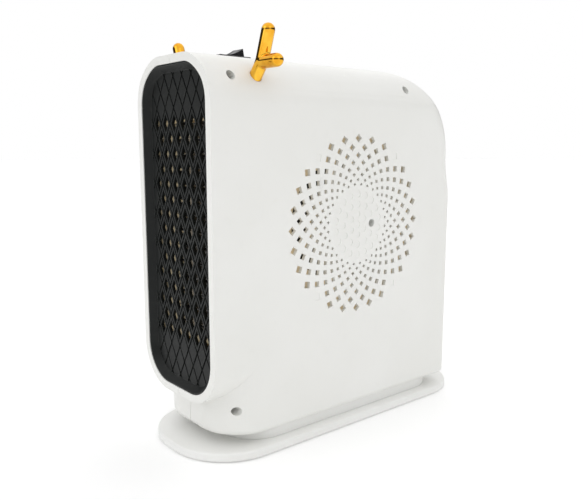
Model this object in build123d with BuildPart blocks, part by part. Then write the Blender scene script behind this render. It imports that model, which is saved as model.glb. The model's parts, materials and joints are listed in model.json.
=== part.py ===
from build123d import *
import os
from math import atan, cos, degrees, hypot, radians, sin

os.makedirs("parts", exist_ok=True)

# Compact desk-top fan heater, millimetres. X runs across the body (the air intake is on +X), the warm air
# leaves at the front, -Y, and Z is up from the surface that the heater stands on. The origin is the middle
# of the base plate on that surface.

# ---- base ----
foot_stand = 1.0  # how far the rubber feet hold the plate off the table
foot_radius = 7.0
foot_recess = 1.2
foot_inset_x = 18.0  # from the plate's sides and ends to the middle of a foot
foot_inset_y = 24.0
plate_length = 231.1
plate_width = 88.0
plate_thickness = 4.6
plate_corner = 38.3
plate_edge = 1.6  # rounding of the plate's top edge
riser_height = 6.8
riser_inset = 4.0  # how far the riser stands back from the body's sides and rear
riser_front_inset = 16.0  # and from its front
riser_wall = 2.4
base_screw_x = 21.0
base_screw_y = 58.0
base_thread = 8.0  # how far the base screws reach into the shells' bosses

# ---- body ----
body_width = 80.0
body_depth = 204.0
body_setback = 6.6  # from the plate's front edge to the rim
rim_height = 197.9
rim_corner = 27.0
rim_land = 4.7  # visible frame round the grille
front_wall = 3.4
neck_height = 20.2  # from the body's underside up to the rim
neck_setback = 7.5
neck_corner = 28.0
back_top_corner = 57.0
back_edge = 5.0
bottom_edge = 4.0
wall = 2.4
seam_width = 0.4
seam_depth = 0.35

# ---- screws that close the shells ----
front_screw_back = 15.9  # top front screw, from the front and from the top
front_screw_down = 12.8
back_screw_back = 155.9  # top back screw
back_screw_down = 13.7
low_screw_back = 18.3  # bottom front screw, from the front and up from the underside
low_screw_up = 15.9
screw_seat = 24.0  # where the heads sit, measured from the seam

# ---- intake rosette and the fan behind it ----
fan_from_front = 109.1
fan_from_rim_bottom = 98.5
rosette_radius = 54.0
rosette_rings = 8
rosette_holes = 28
ring_ratio = 0.898
hole_size = 5.7  # diagonal of the outermost holes
hole_shrink = 1.25  # how fast the holes shrink with the ring radius
blind_holes = (3, 11, 17, 25)  # outer ring places that back onto the fan screws
dimple_radius = 2.2
dimple_depth = 0.3
dimple_pitch = 6.4
dimple_rings = (1, 6, 12, 18)

# ---- fasteners ----
boss_radius = 4.5
screw_shank = 1.4
screw_fit = 0.05  # radial clearance of a shank in its hole
screw_head = 2.45
head_height = 1.8
recess_radius = 2.6
left_thread = 13.0  # depth of the thread in the left boss
screw_slot = 3.2  # length of each slot of the cross in a head
slot_width = 0.8

# ---- fan ----
scroll_right = 18.0  # outer face of the inlet cover
scroll_left = -28.0
scroll_wall = 2.0
scroll_start = 62.0  # spiral radius at the tongue
scroll_growth = 0.1  # growth of the radius for each degree
tongue_angle = 130.0
duct_start = 57.0  # from the fan's axis forward to the duct's mouth
inlet_radius = 38.0
hub_radius = 18.0
hub_thickness = 4.0
arm_width = 5.0
impeller_radius = 44.0
impeller_depth = 35.0
impeller_gap = 3.0
blade_count = 32
blade_length = 7.6
blade_thickness = 1.1
blade_lean = 35.0
motor_radius = 15.0
motor_length = 25.0
shaft_radius = 1.5
running_fit = 0.05
motor_screw_radius = 9.0  # from the shaft to the screws that hold the motor
motor_thread = 5.0
fan_thread = 11.0
shaft_seat = 5.0  # from the motor's face to the end of the shaft

# ---- heater ----
heater_width = 68.0
heater_height = 134.0
heater_depth = 17.0
heater_border = 3.0
heater_behind_front = 14.0
element_width = 4.0
fin_columns = 3
fin_pitch = 3.2
fin_sheet = 0.35
fin_depth = 12.0
stack_fit = 0.1
pad_height = 20.0  # pads on the shells' walls that hold the heater's frame
pad_inset = 2.0
blade_terminal = 0.8
terminal_length = 8.0

# ---- grille ----
grille_fit = 0.15
grille_lip = 0.8
grille_slope_width = 3.2
grille_slope_depth = 4.0
grille_floor = 2.2
flange_width = 2.0
flange_thickness = 1.8
cell_width = 9.8
cell_height = 17.6
cell_groove = 0.87  # raised diamond against the full cell
cell_hole = 0.62  # open diamond against the full cell
groove_depth = 0.9
open_rows = 7  # half rows of open cells above and below the middle row

# ---- switch ----
switch_from_front = 39.6
bezel_length = 21.4
bezel_width = 15.0
bezel_height = 1.8
switch_body_length = 19.4
switch_body_width = 13.4
switch_depth = 16.0
switch_fit = 0.1
pocket_depth = 9.0
rocker_length = 16.4
rocker_width = 10.4
rocker_end = 4.7  # height of the rocker's ends over its pivot
rocker_dip = 3.2
rocker_tilt = 15.0
pivot_below_top = 0.1
trunnion_radius = 1.0
trunnion_length = 0.8
trunnion_gap = 0.2
rocker_gap = 0.3
rocker_swing = 1.15  # room past each end of the rocker, in the bezel

# ---- antler ornaments ----
antler_from_front = 33.1
antler_radius = 3.7
antler_fit = 0.15
antler_socket = 9.0
antler_thread = 7.0
socket_floor = 2.6
socket_wall = 2.2
seat_angle = 34.0  # place of the seat on the rounded top corner, up from its side
lower_lean = 40.0  # lean of the stem below and above its bend, from upright
upper_lean = 19.5
lower_stem = 8.4
upper_stem = 17.2
branch_length = 12.9
stem_bend_radius = 9.0

# ---- cord gland ----
gland_height = 34.0
gland_radius = 5.5
gland_bore = 3.3
gland_flange = 7.5
gland_lock = 6.8  # radius of the part inside the wall
gland_face = 2.0
gland_fit = 0.1
block_length = 28.0  # terminal block on the left wall
block_height = 16.0
block_depth = 14.0
block_from_rear = 34.0
block_above_gland = 12.0
block_hole = 2.4

# ---- places worked out from the driving sizes ----
plate_bottom = foot_stand
plate_top = plate_bottom + plate_thickness
body_bottom = plate_top + riser_height
rim_bottom = body_bottom + neck_height
body_top = rim_bottom + rim_height
front_y = -plate_length / 2 + body_setback
rear_y = front_y + body_depth
half_width = body_width / 2
inner_x = half_width - wall
rim_middle = rim_bottom + rim_height / 2
fan_y = front_y + fan_from_front
fan_z = rim_bottom + fan_from_rim_bottom
side_plane = Plane.YZ.offset(half_width)


def body_form(inset, front_inset):
    # the closed form of the body, or of its hollow when it is inset by the wall
    half = half_width - inset
    rear = rear_y - inset
    top = body_top - inset
    neck_front = front_y + neck_setback + inset
    neck_turn = neck_corner - inset
    back_turn = back_top_corner - inset
    with BuildPart() as form:
        with BuildSketch(Plane.XZ.offset(-(front_y + front_inset))):
            with Locations((0, rim_middle)):
                RectangleRounded(2 * half, rim_height - 2 * inset, rim_corner - inset)
        extrude(amount=-(rear - front_y - front_inset))
        # the lower part, set back from the rim
        with BuildSketch(Plane.XY.offset(body_bottom + inset)):
            with BuildLine():
                Polyline((-half, neck_front + neck_turn), (-half, rear), (half, rear), (half, neck_front + neck_turn))
                RadiusArc((half, neck_front + neck_turn), (half - neck_turn, neck_front), neck_turn)
                Line((half - neck_turn, neck_front), (neck_turn - half, neck_front))
                RadiusArc((neck_turn - half, neck_front), (-half, neck_front + neck_turn), neck_turn)
            make_face()
        extrude(amount=neck_height + rim_corner)
        # rounded back corners, first in the side view and then in the plan
        with BuildSketch(Plane.YZ.offset(-half_width)):
            with BuildLine():
                Polyline((rear, top - back_turn), (rear, 0), (front_y, 0), (front_y, top), (rear - back_turn, top))
                RadiusArc((rear - back_turn, top), (rear, top - back_turn), back_turn)
            make_face()
        extrude(amount=body_width, mode=Mode.INTERSECT)
        with BuildSketch():
            with Locations((0, rear)):
                RectangleRounded(2 * half, 2 * body_depth, back_edge - inset, align=(Align.CENTER, Align.MAX))
        extrude(amount=body_top, mode=Mode.INTERSECT)
        fillet(form.faces().sort_by(Axis.Z)[0].edges(), bottom_edge - inset)
    return form.part


def along_axis(y_offset, z_offset):
    # a place on the side planes, measured from the fan's axis
    return (fan_y + y_offset, fan_z + z_offset)


outer_form = body_form(0, 0)
inner_form = body_form(wall, front_wall)
with BuildPart() as seam_groove:
    with BuildSketch(Plane.YZ.offset(-seam_width / 2)):
        with Locations((front_y + body_depth / 2, body_top / 2)):
            Rectangle(body_depth + 2, body_top + 2)
    extrude(amount=seam_width)
    add(outer_form, mode=Mode.INTERSECT)
    add(body_form(seam_depth, seam_depth), mode=Mode.SUBTRACT)

# shell screws: top front, top back, bottom front; the fourth stands in the dimpled centre of the rosette
corner_screws = [(front_y + front_screw_back, body_top - front_screw_down),
                 (front_y + back_screw_back, body_top - back_screw_down),
                 (front_y + low_screw_back, body_bottom + low_screw_up)]
centre_screw = along_axis(2 * dimple_pitch, 0)
fan_screws_at = [along_axis(rosette_radius * sin(radians(hole * 360 / rosette_holes)),
                            rosette_radius * cos(radians(hole * 360 / rosette_holes))) for hole in blind_holes]
motor_screws_at = (along_axis(0, motor_screw_radius), along_axis(0, -motor_screw_radius))
base_screws_at = [(x, y) for x in (-base_screw_x, base_screw_x) for y in (-base_screw_y, base_screw_y)]

# heater, between the grille and the duct
heater_front = front_y + heater_behind_front
heater_back = heater_front + heater_depth
heater_low = rim_middle - heater_height / 2
heater_high = rim_middle + heater_height / 2
heater_y = (heater_front + heater_back) / 2
pad_places = (heater_low + pad_height, heater_high - pad_height)

# antler seats on the rounded top corners
antler_y = front_y + antler_from_front
antler_seat = Vector(half_width - rim_corner + rim_corner * cos(radians(seat_angle)), antler_y,
                     body_top - rim_corner + rim_corner * sin(radians(seat_angle)))
antler_way = Vector(sin(radians(lower_lean)), 0, cos(radians(lower_lean)))
socket_radius = antler_radius + antler_fit + socket_wall

switch_y = front_y + switch_from_front


def seat_plane(side, out):
    # a plane square to the antler's root, its normal pointing into the body
    place = antler_seat + antler_way * out
    return Plane(origin=(side * place.X, place.Y, place.Z), z_dir=(-side * antler_way.X, 0, -antler_way.Z))


def half_shell(side):
    # side is 1 for the half on +X and -1 for the other
    seam = Plane.YZ if side > 0 else -Plane.YZ
    with BuildPart() as half:
        add(outer_form)
        add(inner_form, mode=Mode.SUBTRACT)
        split(bisect_by=seam, keep=Keep.TOP)
        with BuildSketch(Plane.YZ):
            with Locations(*corner_screws):
                Circle(boss_radius)
        extrude(amount=side * half_width)
        with BuildSketch(Plane.XY.offset(body_bottom)):
            with Locations((side * base_screw_x, -base_screw_y), (side * base_screw_x, base_screw_y)):
                Circle(boss_radius)
        extrude(amount=wall + base_thread + 4)
        with BuildSketch(Plane.YZ.offset(side * heater_width / 2)):
            for pad_z in pad_places:
                with Locations((heater_y, pad_z)):
                    Rectangle(heater_depth - 2 * pad_inset, pad_height)
        extrude(amount=side * (half_width - heater_width / 2))
        with BuildSketch(seat_plane(side, 5)):
            Circle(socket_radius)
        extrude(amount=5 + antler_socket + socket_floor)
        add(outer_form, mode=Mode.INTERSECT)
        # opening for the grille
        with BuildSketch(Plane.XZ.offset(-front_y + 1)):
            with Locations((0, rim_middle)):
                RectangleRounded(body_width - 2 * rim_land, rim_height - 2 * rim_land, rim_corner - rim_land)
        extrude(amount=-(front_wall + 2), mode=Mode.SUBTRACT)
        # bore and screw hole of the antler's socket
        with BuildSketch(seat_plane(side, 6)):
            Circle(antler_radius + antler_fit)
        extrude(amount=6 + antler_socket, mode=Mode.SUBTRACT)
        with BuildSketch(seat_plane(side, 0)):
            Circle(screw_shank + screw_fit)
        extrude(amount=antler_socket + socket_floor + 1, mode=Mode.SUBTRACT)
        # half of the switch's cut-out, of the cord gland's hole and of the parting groove
        with BuildSketch(Plane.XY.offset(body_top - wall - 1)):
            with Locations((0, switch_y)):
                Rectangle(switch_body_width + 2 * switch_fit, switch_body_length + 2 * switch_fit)
        extrude(amount=wall + 2, mode=Mode.SUBTRACT)
        with BuildSketch(Plane.XZ.offset(-rear_y - 1)):
            with Locations((0, gland_height)):
                Circle(gland_radius + gland_fit)
        extrude(amount=wall + 2, mode=Mode.SUBTRACT)
        add(seam_groove.part, mode=Mode.SUBTRACT)
        # threads for the base screws
        with BuildSketch(Plane.XY.offset(body_bottom - 1)):
            with Locations((side * base_screw_x, -base_screw_y), (side * base_screw_x, base_screw_y)):
                Circle(screw_shank + screw_fit)
        extrude(amount=wall + base_thread + 3, mode=Mode.SUBTRACT)
    return half.part


# right shell, with the intake rosette
with BuildPart() as right_shell:
    add(half_shell(1))
    with BuildSketch(Plane.YZ.offset(scroll_right)):
        with Locations(centre_screw, *fan_screws_at):
            Circle(boss_radius)
    extrude(amount=inner_x - scroll_right + wall / 2)
    with BuildSketch(side_plane):
        for ring in range(rosette_rings):
            ring_radius = rosette_radius * ring_ratio ** ring
            half_size = hole_size / 2 * (ring_radius / rosette_radius) ** hole_shrink
            for hole in range(rosette_holes):
                if ring == 0 and hole in blind_holes:
                    continue
                turn = (hole + 0.5 * (ring % 2)) * 360 / rosette_holes
                place = along_axis(ring_radius * sin(radians(turn)), ring_radius * cos(radians(turn)))
                with Locations(Location(place, -turn)):
                    Polygon((-half_size, 0), (0, -half_size), (half_size, 0), (0, half_size))
    extrude(amount=-wall - 0.5, mode=Mode.SUBTRACT)
    with BuildSketch(side_plane):
        for hole in blind_holes:
            turn = hole * 360 / rosette_holes
            place = along_axis(rosette_radius * sin(radians(turn)), rosette_radius * cos(radians(turn)))
            with Locations(Location(place, -turn)):
                half_size = hole_size / 2
                Polygon((-half_size, 0), (0, -half_size), (half_size, 0), (0, half_size))
        for ring, count in enumerate(dimple_rings):
            for dimple in range(count):
                turn = radians(dimple * 360 / count)
                place = along_axis(ring * dimple_pitch * sin(turn), ring * dimple_pitch * cos(turn))
                if hypot(place[0] - centre_screw[0], place[1] - centre_screw[1]) > dimple_radius:
                    with Locations(place):
                        Circle(dimple_radius)
    extrude(amount=-dimple_depth, mode=Mode.SUBTRACT)
    with BuildSketch(Plane.YZ.offset(screw_seat)):
        with Locations(centre_screw, *corner_screws):
            Circle(recess_radius)
    extrude(amount=half_width, mode=Mode.SUBTRACT)
    with BuildSketch(Plane.YZ):
        with Locations(centre_screw, *corner_screws):
            Circle(screw_shank + screw_fit)
    extrude(amount=screw_seat, mode=Mode.SUBTRACT)
    with BuildSketch(Plane.YZ.offset(scroll_right - 1)):
        with Locations(*fan_screws_at):
            Circle(screw_shank + screw_fit)
    extrude(amount=fan_thread + 2, mode=Mode.SUBTRACT)

# left shell, plain outside, with posts for the fan's scroll
scroll_posts = [along_axis(48, 12), along_axis(-6, -58), along_axis(-8, 50)]
with BuildPart() as left_shell:
    add(half_shell(-1))
    with BuildSketch(Plane.YZ.offset(scroll_left)):
        with Locations(*scroll_posts):
            Circle(boss_radius)
    extrude(amount=-(inner_x + scroll_left + wall / 2))
    with BuildSketch(Plane.YZ):
        with Locations(*corner_screws):
            Circle(screw_shank + screw_fit)
    extrude(amount=-left_thread, mode=Mode.SUBTRACT)

# grille: a tray set into the rim, sloped border, diamond lattice
tray_width = body_width - 2 * (rim_land + grille_fit)
tray_height = rim_height - 2 * (rim_land + grille_fit)
tray_corner = rim_corner - rim_land - grille_fit
tray_front = front_y + 0.4
tray_floor = tray_front + grille_slope_depth
tray_back = tray_floor + grille_floor
slope_angle = degrees(atan(grille_slope_width / grille_slope_depth))
floor_inset = grille_lip + grille_slope_width
with BuildPart() as front_grille:
    with BuildSketch(Plane.XZ.offset(-tray_front)):
        with Locations((0, rim_middle)):
            RectangleRounded(tray_width, tray_height, tray_corner)
    extrude(amount=-(tray_back - tray_front))
    with BuildSketch(Plane.XZ.offset(-(front_y + front_wall))):
        with Locations((0, rim_middle)):
            RectangleRounded(tray_width + 2 * flange_width, tray_height + 2 * flange_width,
                             tray_corner + flange_width)
    extrude(amount=-flange_thickness)
    with BuildSketch(Plane.XZ.offset(-tray_front)):
        with Locations((0, rim_middle)):
            RectangleRounded(tray_width - 2 * grille_lip, tray_height - 2 * grille_lip, tray_corner - grille_lip)
    extrude(amount=-grille_slope_depth, taper=slope_angle, mode=Mode.SUBTRACT)
    floor_width = tray_width - 2 * floor_inset
    floor_height = tray_height - 2 * floor_inset
    half_rows = int(floor_height / cell_height) + 1
    half_columns = int(floor_width / cell_width / 2) + 1
    cells = [((column + 0.5 * (row % 2)) * cell_width, rim_middle + row * cell_height / 2, row)
             for row in range(-half_rows, half_rows + 1) for column in range(-half_columns, half_columns + 1)]
    with BuildSketch(Plane.XZ.offset(-tray_floor)):
        with Locations((0, rim_middle)):
            RectangleRounded(floor_width, floor_height, tray_corner - floor_inset)
        for x, z, row in cells:
            with Locations((x, z)):
                across = cell_groove * cell_width / 2
                up = cell_groove * cell_height / 2
                Polygon((-across, 0), (0, -up), (across, 0), (0, up), mode=Mode.SUBTRACT)
    extrude(amount=-groove_depth, mode=Mode.SUBTRACT)
    with BuildSketch(Plane.XZ.offset(-tray_floor + 1)):
        for x, z, row in cells:
            if abs(row) <= open_rows and abs(x) < floor_width / 2 - cell_width / 4:
                with Locations((x, z)):
                    across = cell_hole * cell_width / 2
                    up = cell_hole * cell_height / 2
                    Polygon((-across, 0), (0, -up), (across, 0), (0, up))
    extrude(amount=-(grille_floor + 2), mode=Mode.SUBTRACT)

# base plate with recesses for the feet and the screw heads below
foot_x = plate_width / 2 - foot_inset_x
foot_y = plate_length / 2 - foot_inset_y
foot_places = [(x, y) for x in (-foot_x, foot_x) for y in (-foot_y, foot_y)]
with BuildPart() as base_plate:
    with BuildSketch(Plane.XY.offset(plate_bottom)):
        RectangleRounded(plate_width, plate_length, plate_corner)
    extrude(amount=plate_thickness)
    fillet(base_plate.faces().sort_by(Axis.Z)[-1].edges(), plate_edge)
    with BuildSketch(Plane.XY.offset(plate_bottom)):
        with Locations(*foot_places):
            Circle(foot_radius + screw_fit)
    extrude(amount=foot_recess, mode=Mode.SUBTRACT)
    with BuildSketch(Plane.XY.offset(plate_bottom)):
        with Locations(*base_screws_at):
            Circle(recess_radius + 0.2)
    extrude(amount=head_height + 0.4, mode=Mode.SUBTRACT)
    with BuildSketch(Plane.XY.offset(plate_bottom)):
        with Locations(*base_screws_at):
            Circle(screw_shank + screw_fit)
    extrude(amount=plate_thickness, mode=Mode.SUBTRACT)

with BuildPart() as rubber_feet:
    with BuildSketch():
        with Locations(*foot_places):
            Circle(foot_radius)
    extrude(amount=foot_stand + foot_recess)

# riser: a hollow block between plate and body, set back all round
riser_half = half_width - riser_inset
riser_front = front_y + neck_setback + riser_front_inset
riser_rear = rear_y - riser_inset
riser_corner = neck_corner - riser_inset
with BuildPart() as base_riser:
    with BuildSketch(Plane.XY.offset(plate_top)):
        with Locations((0, (riser_front + riser_rear) / 2)):
            RectangleRounded(2 * riser_half, riser_rear - riser_front, riser_corner)
            offset(amount=-riser_wall, mode=Mode.SUBTRACT)
        with Locations(*base_screws_at):
            Circle(boss_radius)
    extrude(amount=riser_height)
    with BuildSketch(Plane.XY.offset(plate_top)):
        with Locations((0, (riser_front + riser_rear) / 2)):
            Rectangle(2 * riser_half - riser_wall, riser_wall)
            for rib_y in (-base_screw_y, base_screw_y):
                with Locations((0, rib_y - (riser_front + riser_rear) / 2)):
                    Rectangle(2 * riser_half - riser_wall, riser_wall)
    extrude(amount=riser_height / 2)
    with BuildSketch(Plane.XY.offset(plate_top)):
        with Locations(*base_screws_at):
            Circle(screw_shank + screw_fit)
    extrude(amount=riser_height, mode=Mode.SUBTRACT)

base_head = plate_bottom + 0.4
with BuildPart() as base_screws:
    with BuildSketch(Plane.XY.offset(base_head)):
        with Locations(*base_screws_at):
            Circle(screw_head)
    extrude(amount=head_height)
    with BuildSketch(Plane.XY.offset(base_head)):
        with Locations(*base_screws_at):
            Circle(screw_shank)
    extrude(amount=body_bottom + wall + base_thread - base_head)
    with BuildSketch(Plane.XY.offset(base_head)):
        with Locations(*base_screws_at):
            Rectangle(screw_slot, slot_width)
            Rectangle(slot_width, screw_slot)
    extrude(amount=head_height / 2, mode=Mode.SUBTRACT)

# screws that close the shells, and the one that holds the fan's hub to the rosette
with BuildPart() as shell_screws:
    with BuildSketch(Plane.YZ.offset(screw_seat)):
        with Locations(centre_screw, *corner_screws):
            Circle(screw_head)
    extrude(amount=head_height)
    with BuildSketch(Plane.YZ.offset(screw_seat)):
        with Locations(*corner_screws):
            Circle(screw_shank)
    extrude(amount=-(screw_seat + left_thread - 2))
    with BuildSketch(Plane.YZ.offset(screw_seat)):
        with Locations(centre_screw):
            Circle(screw_shank)
    extrude(amount=-(screw_seat - scroll_right + hub_thickness - 0.3))
    with BuildSketch(Plane.YZ.offset(screw_seat + head_height)):
        with Locations(centre_screw, *corner_screws):
            Rectangle(screw_slot, slot_width)
            Rectangle(slot_width, screw_slot)
    extrude(amount=-head_height / 2, mode=Mode.SUBTRACT)

# antlers: a stem that leans out and then rises, and one branch
stem_root = antler_seat - antler_way * antler_socket
stem_bend = antler_seat + antler_way * lower_stem
stem_tip = stem_bend + Vector(sin(radians(upper_lean)), 0, cos(radians(upper_lean))) * upper_stem
branch_tip = stem_bend + Vector(branch_length, 0, 0)
with BuildPart() as antler_right:
    with BuildLine():
        stem = FilletPolyline(stem_root, stem_bend, stem_tip, radius=stem_bend_radius)
    with BuildSketch(Plane(origin=stem @ 0, z_dir=stem % 0)):
        Circle(antler_radius)
    sweep()
    with BuildSketch(Plane(origin=stem_bend, z_dir=(1, 0, 0))):
        Circle(antler_radius)
    extrude(amount=branch_length)
    with Locations(stem_tip, branch_tip):
        Sphere(antler_radius)
    with BuildSketch(Plane(origin=stem_root, z_dir=antler_way)):
        Circle(screw_shank + screw_fit)
    extrude(amount=antler_thread, mode=Mode.SUBTRACT)

with BuildPart() as antler_left:
    add(mirror(antler_right.part, about=Plane.YZ))

with BuildPart() as antler_screws:
    for side in (1, -1):
        with BuildSketch(seat_plane(side, -antler_socket - socket_floor)):
            Circle(screw_head)
        extrude(amount=head_height)
        with BuildSketch(seat_plane(side, -antler_socket - socket_floor)):
            Circle(screw_shank)
        extrude(amount=-(socket_floor + antler_thread - 1))

# rocker switch
bezel_top = body_top + bezel_height
pivot_z = body_top - pivot_below_top
with BuildPart() as switch_body:
    with BuildSketch(Plane.XY.offset(body_top)):
        with Locations((0, switch_y)):
            Rectangle(bezel_width, bezel_length)
    extrude(amount=bezel_height)
    fillet(switch_body.faces().sort_by(Axis.Z)[-1].edges(), 0.6)
    with BuildSketch(Plane.XY.offset(body_top)):
        with Locations((0, switch_y)):
            Rectangle(switch_body_width, switch_body_length)
    extrude(amount=-switch_depth)
    with BuildSketch(Plane.XY.offset(body_top)):
        with Locations((0, switch_y)):
            Rectangle(rocker_width + 2 * rocker_gap, rocker_length + 2 * rocker_swing)
    extrude(amount=bezel_height, mode=Mode.SUBTRACT)
    with BuildSketch(Plane.XY.offset(body_top)):
        with Locations((0, switch_y)):
            Rectangle(rocker_width + 2 * rocker_gap, switch_body_length - 1.6)
    extrude(amount=-pocket_depth, mode=Mode.SUBTRACT)
    with BuildSketch(Plane.YZ.offset(-rocker_width / 2 - trunnion_length - trunnion_gap)):
        with Locations((switch_y, pivot_z)):
            Circle(trunnion_radius + running_fit)
    extrude(amount=rocker_width + 2 * (trunnion_length + trunnion_gap), mode=Mode.SUBTRACT)

rocker_half = rocker_length / 2
tilted = (0, cos(radians(rocker_tilt)), sin(radians(rocker_tilt)))
with BuildPart() as switch_rocker:
    with BuildSketch(Plane(origin=(-rocker_width / 2, switch_y, pivot_z), x_dir=tilted, z_dir=(1, 0, 0))):
        with BuildLine():
            Polyline((-rocker_half, rocker_end), (-rocker_half + 0.4, -1), (-3, -5.2), (3, -5.2),
                     (rocker_half - 0.4, -1), (rocker_half, rocker_end))
            ThreePointArc((rocker_half, rocker_end), (0, rocker_dip), (-rocker_half, rocker_end))
        make_face()
    extrude(amount=rocker_width)
    with BuildSketch(Plane.YZ.offset(-rocker_width / 2 - trunnion_length)):
        with Locations((switch_y, pivot_z)):
            Circle(trunnion_radius)
    extrude(amount=rocker_width + 2 * trunnion_length)

with BuildPart() as switch_terminals:
    with BuildSketch(Plane.XY.offset(body_top - switch_depth)):
        with Locations((0, switch_y)):
            with GridLocations(0, 6.5, 1, 3):
                Rectangle(4.8, blade_terminal)
    extrude(amount=-terminal_length)


# fan housing: a scroll that opens forward, closed on the right by the inlet cover
def scroll_outline(inset, overrun):
    with BuildSketch() as outline:
        with BuildLine():
            steps = 8
            span = tongue_angle + 90
            points = []
            for step in range(steps + 1):
                turn = radians(tongue_angle - span * step / steps)
                reach = scroll_start + scroll_growth * span * step / steps - inset
                points.append(along_axis(reach * cos(turn), reach * sin(turn)))
            spiral = Spline(*points)
            mouth = fan_y - duct_start - overrun
            Polyline(spiral @ 1, (mouth, heater_low + inset), (mouth, heater_high - inset), spiral @ 0)
        make_face()
    return outline.sketch


cover_back = scroll_right - scroll_wall
scroll_outside = scroll_outline(0, 0)
scroll_inside = scroll_outline(scroll_wall, 1)
with BuildPart() as scroll_housing:
    with BuildSketch(Plane.YZ.offset(scroll_left)):
        add(scroll_outside)
    extrude(amount=cover_back - scroll_left)
    with BuildSketch(Plane.YZ.offset(scroll_left + scroll_wall)):
        add(scroll_inside)
    extrude(amount=cover_back - scroll_left, mode=Mode.SUBTRACT)

with BuildPart() as inlet_cover:
    with BuildSketch(Plane.YZ.offset(cover_back)):
        add(scroll_outside)
    extrude(amount=scroll_wall)
    with BuildSketch(Plane.YZ.offset(scroll_right)):
        with Locations((fan_y, fan_z)):
            Circle(inlet_radius + scroll_wall)
    extrude(amount=scroll_wall)
    with BuildSketch(Plane.YZ.offset(cover_back)):
        with Locations((fan_y, fan_z)):
            Circle(inlet_radius)
    extrude(amount=2 * scroll_wall, mode=Mode.SUBTRACT)
    with BuildSketch(Plane.YZ.offset(scroll_right)):
        with Locations((fan_y, fan_z)):
            Circle(hub_radius)
            for arm in range(3):
                with Locations(Location((0, 0), 90 + arm * 120)):
                    Rectangle(inlet_radius + scroll_wall / 2, arm_width, align=(Align.MIN, Align.CENTER))
    extrude(amount=-hub_thickness)
    with BuildSketch(Plane.YZ.offset(scroll_right)):
        with Locations(centre_screw, *fan_screws_at):
            Circle(screw_shank + screw_fit)
        with Locations(*motor_screws_at):
            Circle(screw_shank + screw_fit)
    extrude(amount=-hub_thickness, mode=Mode.SUBTRACT)

with BuildPart() as fan_screws:
    with BuildSketch(Plane.YZ.offset(cover_back)):
        with Locations(*fan_screws_at):
            Circle(screw_head)
    extrude(amount=-head_height)
    with BuildSketch(Plane.YZ.offset(cover_back)):
        with Locations(*fan_screws_at):
            Circle(screw_shank)
    extrude(amount=scroll_wall + fan_thread)

# duct that widens from the scroll to the heater
mouth_y = fan_y - duct_start
with BuildPart() as air_duct:
    for inset, mode in ((0, Mode.ADD), (scroll_wall, Mode.SUBTRACT)):
        with BuildSketch(Plane.XZ.offset(-mouth_y)):
            with Locations(((scroll_left + scroll_right) / 2, rim_middle)):
                Rectangle(scroll_right - scroll_left - 2 * inset, heater_height - 2 * inset)
        with BuildSketch(Plane.XZ.offset(-heater_back)):
            with Locations((0, rim_middle)):
                Rectangle(heater_width - 2 * inset, heater_height - 2 * inset)
        loft(mode=mode)

# fan wheel, motor and shaft
impeller_right = cover_back - impeller_gap
impeller_left = impeller_right - impeller_depth
motor_face = scroll_right - hub_thickness
with BuildPart() as impeller:
    with BuildSketch(Plane.YZ.offset(impeller_left)):
        with Locations((fan_y, fan_z)):
            Circle(impeller_radius)
    extrude(amount=2)
    with BuildSketch(Plane.YZ.offset(impeller_left)):
        with Locations((fan_y, fan_z)):
            Circle(5)
    extrude(amount=8)
    with BuildSketch(Plane.YZ.offset(impeller_left)):
        with Locations((fan_y, fan_z)):
            with PolarLocations(impeller_radius - 3.8, blade_count):
                Rectangle(blade_length, blade_thickness, rotation=blade_lean)
    extrude(amount=impeller_depth)
    with BuildSketch(Plane.YZ.offset(impeller_right - 2.5)):
        with Locations((fan_y, fan_z)):
            Circle(impeller_radius)
            Circle(impeller_radius - 3, mode=Mode.SUBTRACT)
    extrude(amount=2.5)
    with BuildSketch(Plane.YZ.offset(impeller_left - 1)):
        with Locations((fan_y, fan_z)):
            Circle(shaft_radius + 0.02)
    extrude(amount=10, mode=Mode.SUBTRACT)

with BuildPart() as motor:
    with BuildSketch(Plane.YZ.offset(motor_face)):
        with Locations((fan_y, fan_z)):
            Circle(motor_radius)
    extrude(amount=-motor_length)
    fillet(motor.faces().sort_by(Axis.X)[0].edges(), 2)
    with BuildSketch(Plane.YZ.offset(motor_face - motor_length)):
        with Locations((fan_y, fan_z)):
            Circle(shaft_radius + running_fit)
    extrude(amount=motor_length - shaft_seat + 1, mode=Mode.SUBTRACT)
    with BuildSketch(Plane.YZ.offset(motor_face)):
        with Locations(*motor_screws_at):
            Circle(screw_shank + screw_fit)
    extrude(amount=-motor_thread - 1, mode=Mode.SUBTRACT)

with BuildPart() as motor_shaft:
    with BuildSketch(Plane.YZ.offset(motor_face - shaft_seat)):
        with Locations((fan_y, fan_z)):
            Circle(shaft_radius)
    extrude(amount=-(motor_face - shaft_seat - impeller_left + 2))

with BuildPart() as motor_screws:
    with BuildSketch(Plane.YZ.offset(scroll_right)):
        with Locations(*motor_screws_at):
            Circle(screw_head)
    extrude(amount=head_height)
    with BuildSketch(Plane.YZ.offset(scroll_right)):
        with Locations(*motor_screws_at):
            Circle(screw_shank)
    extrude(amount=-(hub_thickness + motor_thread))

# heater: frame, ceramic elements and the folded fins between them
open_width = heater_width - 2 * heater_border
open_height = heater_height - 2 * heater_border
fin_width = (open_width - (fin_columns - 1) * element_width) / fin_columns
column_step = fin_width + element_width
with BuildPart() as heater_frame:
    with BuildSketch(Plane.XZ.offset(-heater_front)):
        with Locations((0, rim_middle)):
            Rectangle(heater_width, heater_height)
            Rectangle(open_width, open_height, mode=Mode.SUBTRACT)
    extrude(amount=-heater_depth)

with BuildPart() as heater_elements:
    with BuildSketch(Plane.XZ.offset(-(heater_back - 1))):
        with Locations((0, rim_middle)):
            with GridLocations(column_step, 0, fin_columns - 1, 1):
                Rectangle(element_width - 2 * stack_fit, open_height - 2 * stack_fit)
    extrude(amount=fin_depth)

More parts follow.
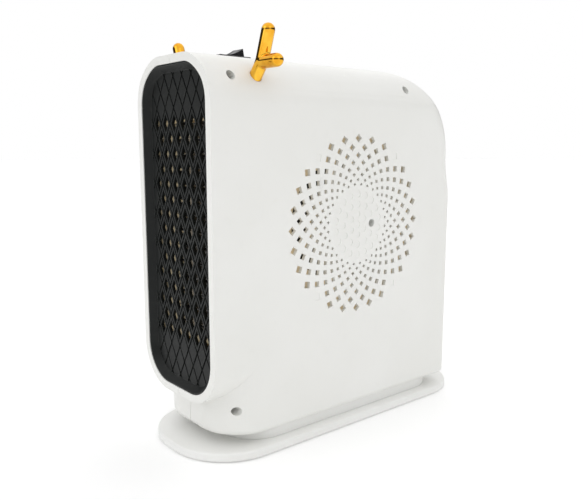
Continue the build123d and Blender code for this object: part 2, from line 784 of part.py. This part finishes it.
# a fin is one sheet folded from side to side; its two edges meet in a notch behind each fold
fin_steps = int(open_height / fin_pitch * 2) - 1
step_height = fin_pitch / 2
fold_reach = fin_width / 2 - stack_fit
notch = fin_sheet * fold_reach / step_height
lowest_fold = -fin_steps * step_height / 2
right_edge = []
left_edge = []
for fold in range(fin_steps + 1):
    fold_z = lowest_fold + fold * step_height
    tip, tip_edge, notch_edge = (1, right_edge, left_edge) if fold % 2 else (-1, left_edge, right_edge)
    tip_edge += [(tip * fold_reach, fold_z), (tip * fold_reach, fold_z + fin_sheet)]
    if 0 < fold < fin_steps:
        notch_edge.append((tip * (fold_reach - notch), fold_z + fin_sheet / 2))
with BuildSketch() as folded_sheet:
    with BuildLine():
        Polyline(*right_edge, *reversed(left_edge), close=True)
    make_face()
with BuildPart() as heater_fins:
    with BuildSketch(Plane.XZ.offset(-(heater_back - 1))):
        with Locations((0, rim_middle)):
            with GridLocations(column_step, 0, fin_columns, 1):
                add(folded_sheet.sketch)
    extrude(amount=fin_depth)

with BuildPart() as heater_terminals:
    with BuildSketch(Plane.XY.offset(heater_low)):
        with Locations((0, heater_y)):
            with GridLocations(column_step, 0, fin_columns, 1):
                Rectangle(5, blade_terminal)
    extrude(amount=-terminal_length)

with BuildPart() as thermostat:
    with BuildSketch(Plane.XY.offset(heater_high)):
        with Locations((12, heater_y)):
            Rectangle(16, 8)
    extrude(amount=4)
    with BuildSketch(Plane.XY.offset(heater_high + 4)):
        with Locations((12, heater_y)):
            Circle(3.5)
    extrude(amount=2)

with BuildPart() as thermal_fuse:
    with BuildSketch(Plane.YZ.offset(-24)):
        with Locations((heater_y, heater_high + 2)):
            Circle(2)
    extrude(amount=14)

# terminal block on the left shell's wall, and the cord gland in the back
block_place = (rear_y - block_from_rear, gland_height + block_above_gland)
with BuildPart() as terminal_block:
    with BuildSketch(Plane.YZ.offset(-inner_x)):
        with Locations(block_place):
            Rectangle(block_length, block_height)
    extrude(amount=block_depth)
    with BuildSketch(Plane.YZ.offset(-inner_x + block_depth)):
        with Locations(block_place):
            with GridLocations(9, 0, 3, 1):
                Circle(block_hole)
    extrude(amount=-5, mode=Mode.SUBTRACT)

with BuildPart() as cord_gland:
    with BuildSketch(Plane.XZ.offset(-rear_y)):
        with Locations((0, gland_height)):
            Circle(gland_flange)
    extrude(amount=-gland_face)
    with BuildSketch(Plane.XZ.offset(-rear_y)):
        with Locations((0, gland_height)):
            Circle(gland_radius)
    extrude(amount=wall)
    with BuildSketch(Plane.XZ.offset(-(rear_y - wall))):
        with Locations((0, gland_height)):
            Circle(gland_lock)
    extrude(amount=gland_face)
    with BuildSketch(Plane.XZ.offset(-rear_y - gland_face)):
        with Locations((0, gland_height)):
            Circle(gland_bore)
    extrude(amount=wall + 2 * gland_face, mode=Mode.SUBTRACT)

pieces = {
    "right_shell": right_shell, "left_shell": left_shell, "front_grille": front_grille,
    "base_plate": base_plate, "base_riser": base_riser, "rubber_feet": rubber_feet,
    "base_screws": base_screws, "shell_screws": shell_screws, "antler_right": antler_right,
    "antler_left": antler_left, "antler_screws": antler_screws, "switch_body": switch_body,
    "switch_rocker": switch_rocker, "switch_terminals": switch_terminals, "inlet_cover": inlet_cover,
    "scroll_housing": scroll_housing, "fan_screws": fan_screws, "air_duct": air_duct, "impeller": impeller,
    "motor": motor, "motor_shaft": motor_shaft, "motor_screws": motor_screws, "heater_frame": heater_frame,
    "heater_elements": heater_elements, "heater_fins": heater_fins, "heater_terminals": heater_terminals,
    "thermostat": thermostat, "thermal_fuse": thermal_fuse, "terminal_block": terminal_block,
    "cord_gland": cord_gland,
}
for name, piece in pieces.items():
    piece.part.label = name
    export_step(piece.part, f"parts/{name}.step")
    print(name, piece.part.is_valid, len(piece.part.solids()), round(piece.part.volume))
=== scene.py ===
import json
import math

import bmesh
import bpy
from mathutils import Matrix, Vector


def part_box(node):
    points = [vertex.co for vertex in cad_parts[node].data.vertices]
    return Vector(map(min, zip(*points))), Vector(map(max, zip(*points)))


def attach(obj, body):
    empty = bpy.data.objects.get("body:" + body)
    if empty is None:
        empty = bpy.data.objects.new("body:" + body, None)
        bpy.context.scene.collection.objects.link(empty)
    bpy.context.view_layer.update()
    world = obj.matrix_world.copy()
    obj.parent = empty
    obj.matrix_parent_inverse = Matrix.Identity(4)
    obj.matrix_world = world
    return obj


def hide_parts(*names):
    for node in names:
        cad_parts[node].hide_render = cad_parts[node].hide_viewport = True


# Slim fan heater: refined skins over the CAD frame, procedural finishes, high-key studio light.
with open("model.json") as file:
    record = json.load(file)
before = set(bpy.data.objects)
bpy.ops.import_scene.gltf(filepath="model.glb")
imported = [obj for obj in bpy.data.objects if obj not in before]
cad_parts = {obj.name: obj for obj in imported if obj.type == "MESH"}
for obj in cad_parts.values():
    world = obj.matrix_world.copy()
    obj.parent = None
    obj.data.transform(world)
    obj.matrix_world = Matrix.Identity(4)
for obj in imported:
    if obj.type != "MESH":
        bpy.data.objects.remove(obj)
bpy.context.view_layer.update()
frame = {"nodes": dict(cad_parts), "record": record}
print("frame loaded:", len(frame["nodes"]), "CAD nodes")


# ---------- node building ----------
class Level:
    # a value coming out of a node; arithmetic on it adds Math nodes
    def __init__(self, web, socket):
        self.web = web
        self.socket = socket

    def worked(self, operation, first, second):
        return self.web.node("Math", {"operation": operation}, {0: first, 1: second})

    def __add__(self, other):
        return self.worked("ADD", self, other)

    def __radd__(self, other):
        return self.worked("ADD", other, self)

    def __sub__(self, other):
        return self.worked("SUBTRACT", self, other)

    def __rsub__(self, other):
        return self.worked("SUBTRACT", other, self)

    def __mul__(self, other):
        return self.worked("MULTIPLY", self, other)

    def __rmul__(self, other):
        return self.worked("MULTIPLY", other, self)


class Web:
    # the nodes of one tree
    family = "ShaderNode"

    def node(self, kind, settings=None, sockets=None, output=0):
        family = "ShaderNode" if kind in ("Math", "CombineXYZ") else self.family
        made = self.tree.nodes.new(family + kind)
        for label, value in (settings or {}).items():
            setattr(made, label, value)
        for label, value in (sockets or {}).items():
            self.feed(made.inputs[label], value)
        return Level(self, made.outputs[output])

    def feed(self, port, value):
        if isinstance(value, Level):
            self.tree.links.new(value.socket, port)
        else:
            port.default_value = value


class Finish(Web):
    # one material; fixed numbers go on the shader's own sockets, varying ones through nodes
    def __init__(self, name, **fixed):
        self.material = bpy.data.materials.new(name)
        self.material.use_nodes = True
        self.tree = self.material.node_tree
        self.shader = self.tree.nodes["Principled BSDF"]
        self.place = self.node("TexCoord", output="Object")
        for label, value in fixed.items():
            self.shader.inputs[label].default_value = value

    def noise(self, scale, detail=2.0, stretch=(1, 1, 1)):
        spot = self.node("Mapping", sockets={"Vector": self.place, "Scale": stretch})
        return self.node("TexNoise", sockets={"Vector": spot, "Scale": scale, "Detail": detail})

    def spread(self, level, fromMin, fromMax, toMin=0.0, toMax=1.0):
        return self.node("MapRange", sockets={"Value": level, "From Min": fromMin, "From Max": fromMax,
                                              "To Min": toMin, "To Max": toMax})

    def blend(self, mask, first, second):
        return self.node("Mix", {"data_type": "RGBA"}, {0: mask, 6: first, 7: second}, output=2)

    def show(self, color=None, roughness=None, height=None, heightSize=0.00002):
        if color is not None:
            self.feed(self.shader.inputs["Base Color"], color)
        if roughness is not None:
            self.feed(self.shader.inputs["Roughness"], roughness)
        if height is not None:
            bump = self.node("Bump", sockets={"Height": height, "Strength": 1.0, "Distance": heightSize})
            self.feed(self.shader.inputs["Normal"], bump)
        return self.material


class Growth(Web):
    # a geometry tree whose named inputs are set on one new piece
    family = "GeometryNode"

    def __init__(self, name, **inputs):
        self.tree = bpy.data.node_groups.new(name, "GeometryNodeTree")
        self.entry = self.tree.nodes.new("NodeGroupInput")
        self.inputs = {}
        self.tree.interface.new_socket("Geometry", in_out="OUTPUT", socket_type="NodeSocketGeometry")
        for label, value in inputs.items():
            kind = {int: "Int", float: "Float"}.get(type(value), "Material")
            socket = self.tree.interface.new_socket(label, in_out="INPUT", socket_type="NodeSocket" + kind)
            self.inputs[socket.identifier] = value

    def given(self, label):
        return Level(self, self.entry.outputs[label])

    def join(self, *parts):
        made = self.tree.nodes.new("GeometryNodeJoinGeometry")
        for part in parts:
            self.tree.links.new(part.socket, made.inputs[0])
        return Level(self, made.outputs[0])

    def piece(self, name, shape):
        real = self.node("RealizeInstances", sockets={0: shape})
        painted = self.node("SetMaterial", sockets={"Geometry": real, "Material": self.given("finish")})
        self.feed(self.tree.nodes.new("NodeGroupOutput").inputs[0], painted)
        made = bpy.data.objects.new(name, bpy.data.meshes.new(name))
        bpy.context.scene.collection.objects.link(made)
        modifier = made.modifiers.new("growth", "NODES")
        modifier.node_group = self.tree
        for identifier, value in self.inputs.items():
            modifier[identifier] = value
        return made


def rgb(red, green, blue):
    # screen values to the linear colour of a socket
    return tuple((v / 12.92 if v <= 0.04045 else ((v + 0.055) / 1.055) ** 2.4)
                 for v in (red / 255, green / 255, blue / 255)) + (1.0,)


def mouldedPlastic(name, look):
    # resin with a slow drift in shade, settled dust, a fine mould grain and softer, hand-polished patches
    # a look's lift makes the resin glow in its own colour: painted light for parts that no lamp reaches
    finish = Finish(name, **{"IOR": 1.49, "Specular IOR Level": look.get("gloss", 0.5),
                             "Emission Color": look["color"], "Emission Strength": look.get("lift", 0.0)})
    drift = finish.noise(look["driftScale"], 3)
    grain = finish.noise(look["grainScale"], 2)
    orangePeel = finish.noise(look["grainScale"] / 6, 1)
    dust = finish.spread(finish.noise(look["driftScale"] * 9, 7), 0.58, 0.8, 0, look["dust"])
    color = finish.blend(finish.spread(drift, 0.3, 0.7), look["color"], look["shade"])
    color = finish.blend(dust, color, look["dustColor"])
    roughness = look["roughness"] + look["roughSpread"] * (drift - 0.5) + 0.3 * dust
    return finish.show(color, roughness, 0.65 * grain + 0.35 * orangePeel, look["grainHeight"])


def platedMetal(name, look):
    # bright plating: thin haze, faint waviness, tiny pits
    finish = Finish(name, Metallic=1.0)
    haze = finish.noise(look["hazeScale"], 4)
    pits = finish.spread(finish.noise(look["hazeScale"] * 14, 2), 0.62, 0.72)
    wave = finish.noise(look["hazeScale"] * 0.6, 1)
    color = finish.blend(finish.spread(haze, 0.3, 0.7), look["color"], look["deep"])
    roughness = look["roughness"] + look["hazeDepth"] * haze + 0.1 * pits
    return finish.show(color, roughness, wave - 0.03 * pits, look["waveHeight"])


def workedMetal(name, look):
    # rolled or turned metal: fine lines along one direction and dull oxide patches
    finish = Finish(name, Metallic=1.0)
    lines = finish.noise(look["lineScale"], 3, look["lineStretch"])
    oxide = finish.spread(finish.noise(look["oxideScale"], 5), 0.5, 0.72, 0, look["oxide"])
    color = finish.blend(oxide, look["color"], look["oxideColor"])
    roughness = look["roughness"] + 0.12 * lines + 0.35 * oxide
    return finish.show(color, roughness, lines, look["lineHeight"])


def firedCeramic(name, look):
    finish = Finish(name)
    speckle = finish.spread(finish.noise(look["speckleScale"], 4), 0.55, 0.66)
    cloud = finish.noise(look["speckleScale"] * 0.1, 3)
    color = finish.blend(finish.spread(cloud, 0.3, 0.7), look["color"], look["shade"])
    color = finish.blend(0.5 * speckle, color, look["fleck"])
    return finish.show(color, 0.72 - 0.15 * speckle, speckle + cloud, 0.00003)


shellLook = dict(color=rgb(240, 240, 237), shade=rgb(236, 236, 232), dust=0.05, dustColor=rgb(200, 198, 190),
                 roughness=0.36, roughSpread=0.1, driftScale=14, grainScale=2600, grainHeight=0.000006)
rubbedHighlitEdgeLook = {**shellLook, "roughness": 0.24, "color": rgb(244, 244, 241)}  # edges rubbed glossy by hands, and painted a touch lighter as a highlight
baseLook = {**shellLook, "color": rgb(243, 243, 241), "shade": rgb(240, 240, 237), "roughness": 0.4}
grilleLook = dict(color=rgb(17, 20, 19), shade=rgb(13, 16, 15), dust=0.12, dustColor=rgb(84, 85, 80), gloss=0.28,
                  roughness=0.5, roughSpread=0.16, driftScale=30, grainScale=3200, grainHeight=0.00002)
# the grille's bevelled edges are painted lighter and made glossier: a painted highlight along the bars
grilleEdgeHighlightLook = {**grilleLook, "color": rgb(44, 48, 45), "shade": rgb(36, 40, 37), "roughness": 0.36,
                  "gloss": 0.5}
switchLook = dict(color=rgb(26, 26, 28), shade=rgb(20, 20, 22), dust=0.2, dustColor=rgb(90, 90, 88),
                  roughness=0.3, roughSpread=0.12, driftScale=60, grainScale=4200, grainHeight=0.00001)
rockerLook = {**switchLook, "roughness": 0.22}
creamLook = dict(color=rgb(222, 200, 162), shade=rgb(204, 180, 142), dust=0.3, dustColor=rgb(120, 108, 88),
                 roughness=0.55, roughSpread=0.1, driftScale=20, grainScale=2200, grainHeight=0.00002)
# the cream parts behind the holes carry a faint lift of their own, a painted glow in their own colour, as so
# little lamp light gets in to them
micaLook = {**creamLook, "color": rgb(196, 182, 152), "shade": rgb(168, 154, 126), "roughness": 0.5, "lift": 0.34}
innerCreamLook = {**creamLook, "color": rgb(208, 194, 166), "shade": rgb(194, 180, 152), "lift": 0.36}
fanLook = {**grilleLook, "color": rgb(30, 30, 31), "shade": rgb(22, 22, 23), "roughness": 0.42}
bakeliteLook = {**fanLook, "color": rgb(58, 42, 34), "shade": rgb(44, 32, 26), "roughness": 0.35}
rubberLook = dict(color=rgb(46, 46, 46), shade=rgb(36, 36, 36), dust=0.35, dustColor=rgb(110, 108, 104),
                  roughness=0.82, roughSpread=0.1, driftScale=50, grainScale=1800, grainHeight=0.00004)
motorLook = {**switchLook, "color": rgb(96, 98, 102), "shade": rgb(80, 82, 86), "roughness": 0.35}
goldLook = dict(color=rgb(252, 198, 72), deep=rgb(232, 162, 42), roughness=0.015, hazeDepth=0.04, hazeScale=160,
                waveHeight=0.00006)
steelLook = dict(color=rgb(205, 205, 203), oxide=0.35, oxideColor=rgb(126, 122, 116), oxideScale=260,
                 roughness=0.24, lineScale=900, lineStretch=(1, 6, 1), lineHeight=0.000012)
brassLook = {**steelLook, "color": rgb(214, 178, 104), "oxideColor": rgb(124, 92, 52)}
finLook = {**steelLook, "color": rgb(214, 214, 212), "roughness": 0.3, "lineStretch": (5, 1, 1), "oxide": 0.2}
ceramicLook = dict(color=rgb(214, 204, 186), shade=rgb(196, 182, 158), fleck=rgb(150, 134, 108), speckleScale=900)

finishes = {
    "shell_white": mouldedPlastic("shellResin", shellLook),
    "grille_black": mouldedPlastic("grilleResin", grilleLook),
    "base_white": mouldedPlastic("baseResin", baseLook),
    "rubber": mouldedPlastic("footRubber", rubberLook),
    "screw_steel": workedMetal("zincSteel", steelLook),
    "antler_gold": platedMetal("goldPlating", goldLook),
    "switch_black": mouldedPlastic("switchResin", switchLook),
    "rocker_black": mouldedPlastic("rockerResin", rockerLook),
    "terminal_brass": workedMetal("terminalBrass", brassLook),
    # the duct and heater-frame resins glow faintly: painted light seen through the holes
    "housing_cream": mouldedPlastic("ductResin", innerCreamLook),
    "fan_black": mouldedPlastic("fanResin", fanLook),
    "motor_steel": mouldedPlastic("motorPaint", motorLook),
    "shaft_steel": workedMetal("groundSteel", {**steelLook, "oxide": 0.1}),
    "heater_frame": mouldedPlastic("micaFrame", micaLook),
    "element_ceramic": firedCeramic("heatingCeramic", ceramicLook),
    "fin_aluminium": workedMetal("finAluminium", finLook),
    "thermostat_black": mouldedPlastic("bakelite", bakeliteLook),
    "gland_black": mouldedPlastic("glandRubber", rubberLook),
}
# the shell and base edges: rubbed glossy, and painted lighter as a highlight
rubbedHighlitEdge = mouldedPlastic("shellResinRubbedHighlit", rubbedHighlitEdgeLook)
# painted highlight on the grille's bevelled edges
grilleEdgeHighlight = mouldedPlastic("grilleResinEdgeHighlight", grilleEdgeHighlightLook)
slotOf = {}
for part in frame["record"]["subparts"]:
    slotOf[part["node"]] = part["material_slot"]
for nodeName, node in frame["nodes"].items():
    node.data.materials.clear()
    node.data.materials.append(finishes[slotOf[nodeName]])
print("finishes ready:", len(finishes) + 2)


# ---------- skins over the visible CAD parts ----------
shading = dict(smoothAngle=40, flatShare=0.99999, sameShare=0.9999)


def trueNormals(mesh):
    # flat faces shade flat right up to their borders; rounded ones take the mean of the facets that meet
    limit = math.cos(math.radians(shading["smoothAngle"]))
    facing = [face.normal.copy() for face in mesh.polygons]
    flat = [max(abs(part) for part in normal) > shading["flatShare"] for normal in facing]
    around = [[] for vertex in mesh.vertices]
    for face in mesh.polygons:
        for vertex in face.vertices:
            around[vertex].append(face.index)
    normals = [None] * len(mesh.loops)
    for face in mesh.polygons:
        for corner in face.loop_indices:
            met = []
            for other in around[mesh.loops[corner].vertex_index]:
                normal = facing[other]
                if normal.dot(facing[face.index]) > limit:
                    if flat[other]:
                        met = [normal]
                        break
                    if all(normal.dot(seen) < shading["sameShare"] for seen in met):
                        met.append(normal)
            normals[corner] = sum(met, Vector()).normalized() if met else face.normal
    mesh.normals_split_custom_set(normals)


def settle(piece, body, *nodeNames):
    # bakes the modifiers, then hands the piece to its body in place of its CAD nodes
    bpy.context.view_layer.update()
    graph = bpy.context.evaluated_depsgraph_get()
    baked = bpy.data.meshes.new_from_object(piece.evaluated_get(graph))
    piece.modifiers.clear()
    piece.data = baked
    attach(piece, body)
    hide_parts(*nodeNames)
    return piece


# the sharp mitre where the rounded top turns down into the back gets a moulded radius
mitre = dict(topRadius=0.027, backRadius=0.057, edgeLength=0.0016, halvings=6, probes=8, blend=0.013,
             least=0.00002, fadeDepth=0.03, turns=3)


def roundedCorner(outward, upward, radius):
    # distance past a rounded corner, and the direction it grows in
    if outward > -radius and upward > -radius:
        reach = math.hypot(outward + radius, upward + radius)
        return reach - radius, (outward + radius) / max(reach, 1e-9), (upward + radius) / max(reach, 1e-9)
    return (outward, 1.0, 0.0) if outward > upward else (upward, 0.0, 1.0)


def roundMitre(work):
    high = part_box("right_shell")[1]
    seat = high.z - mitre["backRadius"]

    def pulls(spot):
        # the front outline and the side outline, each as a distance and a direction
        side, sideward, sideUp = roundedCorner(abs(spot.x) - high.x, spot.z - high.z, mitre["topRadius"])
        back, backward, backUp = roundedCorner(spot.y - high.y, spot.z - high.z, mitre["backRadius"])
        return side, Vector((math.copysign(sideward, spot.x), 0, sideUp)), back, Vector((0, backward, backUp))

    def blended(spot):
        side, sideWay, back, backWay = pulls(spot)
        share = max(0.0, 1 - abs(side - back) / mitre["blend"])
        lean = 0.5 * share if side < back else 1 - 0.5 * share
        extra = mitre["blend"] / 4 * share * share * (1 - sideWay.dot(backWay) ** 2)
        return max(side, back), extra, sideWay * lean + backWay * (1 - lean)

    def inReach(spot):
        return spot.z > seat - mitre["fadeDepth"] and blended(spot)[1] > mitre["least"]

    def passesNear(edge):
        first, last = (vertex.co for vertex in edge.verts)
        return any(inReach(first.lerp(last, probe / mitre["probes"])) for probe in range(mitre["probes"] + 1))

    for halving in range(mitre["halvings"], -1, -1):
        limit = mitre["edgeLength"] * 2 ** halving
        tooLong = [edge for edge in work.edges if edge.calc_length() > limit and passesNear(edge)]
        bmesh.ops.subdivide_edges(work, edges=tooLong, cuts=1)
        bmesh.ops.triangulate(work, faces=[face for face in work.faces if len(face.verts) > 3])
    for vertex in work.verts:
        if not inReach(vertex.co):
            continue
        fade = min(1.0, (vertex.co.z - seat + mitre["fadeDepth"]) / mitre["fadeDepth"])
        level = blended(vertex.co)[0]
        spot = vertex.co.copy()
        for turn in range(mitre["turns"]):
            height, extra, way = blended(spot)
            extra = max(0.0, extra - mitre["least"])
            spot -= way * (height + extra - level) / way.length_squared
        vertex.co = vertex.co.lerp(spot, fade * fade * (3 - 2 * fade))


merging = dict(distance=0.000002, flatAngle=0.3)


def mergedCopy(nodeName, flattened=True, mitred=False):
    work = bmesh.new()
    work.from_mesh(frame["nodes"][nodeName].data)
    bmesh.ops.remove_doubles(work, verts=work.verts, dist=merging["distance"])
    if mitred:
        roundMitre(work)
    if flattened:
        bmesh.ops.dissolve_limit(work, angle_limit=math.radians(merging["flatAngle"]), verts=work.verts,
                                 edges=work.edges)
    mesh = bpy.data.meshes.new(nodeName + "_skin")
    work.to_mesh(mesh)
    work.free()
    mesh.shade_smooth()
    return mesh


def softEdged(nodeName, body, skin):
    piece = bpy.data.objects.new(skin["name"], mergedCopy(nodeName, mitred=skin.get("mitred", False)))
    bpy.context.scene.collection.objects.link(piece)
    piece.data.materials.append(finishes[slotOf[nodeName]])
    # the bevelled edges take the edge finish; on the shell, base and grille it is painted lighter as a highlight
    piece.data.materials.append(skin.get("edgeFinish", finishes[slotOf[nodeName]]))
    bevel = piece.modifiers.new("softEdge", "BEVEL")
    bevel.width = skin["edge"]
    bevel.segments = 2
    bevel.limit_method = "ANGLE"
    bevel.angle_limit = math.radians(skin.get("sharpAngle", 32))
    bevel.material = 1
    settle(piece, body, nodeName)
    trueNormals(piece.data)
    print(skin["name"], len(piece.data.polygons), "faces")
    return piece


skins = {
    "right_shell": dict(name="rightShell", mitred=True, edge=0.0003, edgeFinish=rubbedHighlitEdge),
    "left_shell": dict(name="leftShell", mitred=True, edge=0.0003, edgeFinish=rubbedHighlitEdge),
    "front_grille": dict(name="frontGrille", edge=0.0002, sharpAngle=25, edgeFinish=grilleEdgeHighlight),
    "base_plate": dict(name="basePlate", edge=0.0003, edgeFinish=rubbedHighlitEdge),
    "base_riser": dict(name="baseRiser", edge=0.0003),
    "switch_body": dict(name="switchBody", edge=0.00025),
    "cord_gland": dict(name="cordGland", edge=0.0003),
    "rubber_feet": dict(name="rubberFeet", edge=0.0003),
    "shell_screws": dict(name="shellScrews", edge=0.0001),
    "switch_rocker": dict(name="switchRocker", edge=0.0004, body="rocker"),
}
for nodeName, skin in skins.items():
    softEdged(nodeName, skin.get("body", "root"), skin)
print("skins ready")


# ---------- antlers ----------
antler = dict(voxel=0.0004, rounds=10, strength=0.5)
for nodeName, pieceName in (("antler_right", "rightAntler"), ("antler_left", "leftAntler")):
    piece = bpy.data.objects.new(pieceName, mergedCopy(nodeName, flattened=False))
    bpy.context.scene.collection.objects.link(piece)
    remesh = piece.modifiers.new("oneSkin", "REMESH")
    remesh.mode = "VOXEL"
    remesh.voxel_size = antler["voxel"]
    remesh.use_smooth_shade = True
    smooth = piece.modifiers.new("casting", "SMOOTH")
    smooth.iterations = antler["rounds"]
    smooth.factor = antler["strength"]
    settle(piece, "root", nodeName)
    piece.data.materials.clear()
    piece.data.materials.append(finishes["antler_gold"])
    print(pieceName, len(piece.data.polygons), "faces")


# ---------- fan wheel ----------
wheel = dict(blades=32, bladeArc=0.0085, bladeSweep=50.0, lean=34.0, bladeThick=0.0011, inset=0.0042, plate=0.002,
             ringDepth=0.0025, ringWidth=0.003, hub=0.005, hubDepth=0.008, bore=0.00153, rounding=0.0003,
             ringSteps=128, bladeSteps=12, roundingSteps=2)
wheelLow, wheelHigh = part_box("impeller")
growth = Growth("fanWheel", radius=(wheelHigh.z - wheelLow.z) / 2, depth=wheelHigh.x - wheelLow.x,
                blades=wheel["blades"], bladeArc=wheel["bladeArc"], bladeSweep=math.radians(wheel["bladeSweep"]),
                lean=math.radians(wheel["lean"]), bladeThick=wheel["bladeThick"], inset=wheel["inset"],
                finish=finishes["fan_black"])


def softBar(width, height):
    outline = growth.node("CurvePrimitiveQuadrilateral", sockets={"Width": width, "Height": height})
    return growth.node("FilletCurve", {"mode": "POLY"}, {"Curve": outline, "Count": wheel["roundingSteps"],
                                                         "Radius": wheel["rounding"]})


def ring(outer, inner, start, height):
    path = growth.node("CurvePrimitiveCircle", sockets={"Resolution": wheel["ringSteps"],
                                                         "Radius": 0.5 * (outer + inner)})
    swept = growth.node("CurveToMesh", sockets={"Curve": path, "Profile Curve": softBar(outer - inner, height)})
    lifted = growth.node("CombineXYZ", sockets={"Z": start + 0.5 * height})
    return growth.node("Transform", sockets={"Geometry": swept, "Translation": lifted})


radius, depth, arc = growth.given("radius"), growth.given("depth"), growth.given("bladeArc")
sweep, lean = growth.given("bladeSweep"), growth.given("lean")
bladePath = growth.node("CurveArc", sockets={"Resolution": wheel["bladeSteps"], "Radius": arc,
                                             "Start Angle": -0.5 * sweep, "Sweep Angle": sweep})
blade = growth.node("CurveToMesh", sockets={"Curve": bladePath, "Fill Caps": True,
                                            "Profile Curve": softBar(growth.given("bladeThick"), depth)})
centred = growth.node("Transform", sockets={
    "Geometry": blade, "Translation": growth.node("CombineXYZ", sockets={"X": 0.0 - arc, "Z": 0.5 * depth})})
leaning = growth.node("Transform", sockets={
    "Geometry": centred, "Rotation": growth.node("CombineXYZ", sockets={"Z": lean - math.pi / 2})})
places = growth.node("MeshCircle", sockets={"Vertices": growth.given("blades"),
                                            "Radius": radius - growth.given("inset")})
turned = growth.node("Math", {"operation": "DIVIDE"}, {0: 2 * math.pi * growth.node("InputIndex"),
                                                      1: growth.given("blades")})
blades = growth.node("InstanceOnPoints", sockets={"Points": places, "Instance": leaning,
                                                  "Rotation": growth.node("CombineXYZ", sockets={"Z": turned})})
whole = growth.join(blades, ring(radius, wheel["bore"], 0.0, wheel["plate"]),
                    ring(wheel["hub"], wheel["bore"], 0.0, wheel["hubDepth"]),
                    ring(radius, radius - wheel["ringWidth"], depth - wheel["ringDepth"], wheel["ringDepth"]))
onAxis = growth.node("Transform", sockets={"Geometry": whole, "Rotation": (0, math.pi / 2, 0),
                                           "Translation": (wheelLow.x, (wheelLow.y + wheelHigh.y) / 2,
                                                           (wheelLow.z + wheelHigh.z) / 2)})
fanWheel = settle(growth.piece("fanWheel", onAxis), "fan_rotor", "impeller")
fanWheel.data.shade_smooth()
trueNormals(fanWheel.data)
print("fan wheel:", len(fanWheel.data.polygons), "faces")


# ---------- stage, light and camera ----------
floor = dict(radius=9.0, segments=96, colour=rgb(250, 250, 250), roughness=0.9, lift=0.12)
floorMesh = bpy.data.meshes.new("floor")
work = bmesh.new()
bmesh.ops.create_circle(work, cap_ends=True, radius=floor["radius"], segments=floor["segments"])
work.to_mesh(floorMesh)
work.free()
floorDisc = bpy.data.objects.new("floor", floorMesh)
bpy.context.scene.collection.objects.link(floorDisc)
floorFinish = Finish("paleFloor", Roughness=floor["roughness"], **{
    "Emission Color": (1, 1, 1, 1), "Emission Strength": floor["lift"], "Specular IOR Level": 0.0})
floorDisc.data.materials.append(floorFinish.show(floor["colour"]))

# the studio round it by height: bright low and high, with a dark band that gives the plating its contrast
studio = dict(low=0.8, high=1.15, between=((0.05, 0.6), (0.1, 0.03), (0.3, 0.05), (0.36, 0.9)))
world = bpy.data.worlds.new("studio")
bpy.context.scene.world = world
world.use_nodes = True
tree = world.node_tree
background = tree.nodes["Background"]
direction = tree.nodes.new("ShaderNodeTexCoord")
heights = tree.nodes.new("ShaderNodeSeparateXYZ")
ramp = tree.nodes.new("ShaderNodeValToRGB")
seen = tree.nodes.new("ShaderNodeLightPath")
pick = tree.nodes.new("ShaderNodeMix")
pick.data_type = "RGBA"
tree.links.new(direction.outputs["Generated"], heights.inputs[0])
tree.links.new(heights.outputs["Z"], ramp.inputs[0])
tree.links.new(seen.outputs["Is Camera Ray"], pick.inputs[0])
tree.links.new(ramp.outputs[0], pick.inputs[6])
pick.inputs[7].default_value = (1, 1, 1, 1)
tree.links.new(pick.outputs[2], background.inputs["Color"])
stops = ramp.color_ramp.elements
stops[0].color = (studio["low"],) * 3 + (1,)
stops[1].color = (studio["high"],) * 3 + (1,)
for height, value in studio["between"]:
    stops.new(height).color = (value,) * 3 + (1,)


lights = {
    "sideBox": dict(place=(1.3, -0.1, 0.75), size=(1.0, 1.2), power=1.6),
    "frontBox": dict(place=(-0.25, -1.3, 0.7), size=(0.8, 1.1), power=2.2),
    "backBox": dict(place=(-1.0, 1.1, 0.9), size=(1.0, 1.0), power=1.5),
}
lightAim = Vector((0, 0, 0.12))
for name, light in lights.items():
    lamp = bpy.data.lights.new(name, "AREA")
    lamp.shape = "RECTANGLE"
    lamp.size, lamp.size_y = light["size"]
    lamp.energy = light["power"]
    holder = bpy.data.objects.new(name, lamp)
    bpy.context.scene.collection.objects.link(holder)
    holder.location = light["place"]
    holder.rotation_euler = (lightAim - Vector(light["place"])).to_track_quat("-Z", "Y").to_euler()

view = dict(place=(0.3356, -0.3004, 0.1806), azimuth=50.235, elevation=8.94, lens=41.05, sensor=36.0,
            nearest=0.01, farthest=50)
camera = bpy.data.cameras.new("studioCamera")
camera.lens = view["lens"]
camera.sensor_width = view["sensor"]
camera.clip_start = view["nearest"]
camera.clip_end = view["farthest"]
eye = bpy.data.objects.new("studioCamera", camera)
bpy.context.scene.collection.objects.link(eye)
eye.location = view["place"]
eye.rotation_euler = (math.radians(90 - view["elevation"]), 0, math.radians(view["azimuth"]))
bpy.context.scene.camera = eye
bpy.context.scene.view_settings.view_transform = "Standard"
bpy.context.scene.view_settings.look = "None"
print("stage ready")
